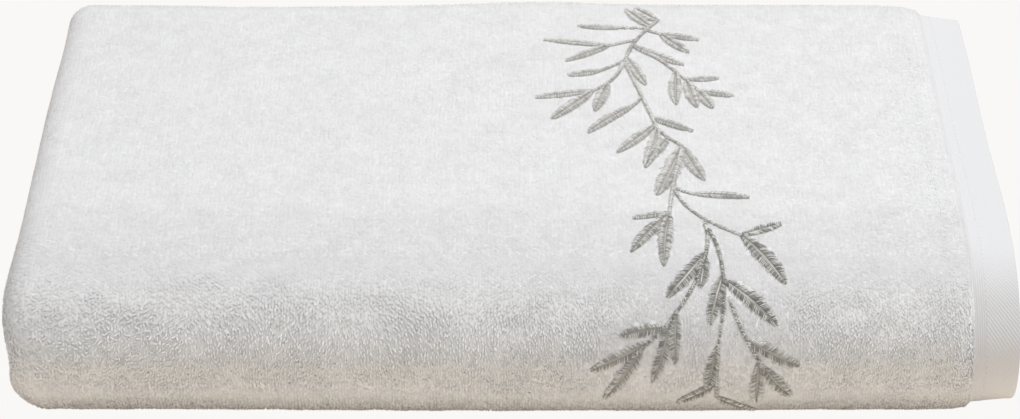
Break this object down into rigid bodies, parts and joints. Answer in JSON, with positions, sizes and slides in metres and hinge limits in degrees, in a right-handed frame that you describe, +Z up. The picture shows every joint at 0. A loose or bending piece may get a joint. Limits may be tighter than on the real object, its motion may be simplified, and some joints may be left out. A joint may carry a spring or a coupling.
{
  "type": "folded bath towel",
  "caption": "White terry bath towel folded for the shelf, with a long round front fold, flat hemmed ends at one side and a leaf spray in silver-grey thread.",
  "frame": {"origin": "middle of the folded towel's footprint, on the surface it rests on", "axes": "+Z up through the twelve layers, +X along the long front fold towards the hemmed ends, -Y towards the viewer, out of the front fold"},
  "size_m": [0.3548, 0.2504, 0.0586],
  "materials": {
    "white_terry": "soft white cotton loops on both faces, matt",
    "grey_thread": "lustrous silver-grey embroidery thread"
  },
  "bodies": {
    "root": {"towel": "white_terry"}
  },
  "joints": []
}
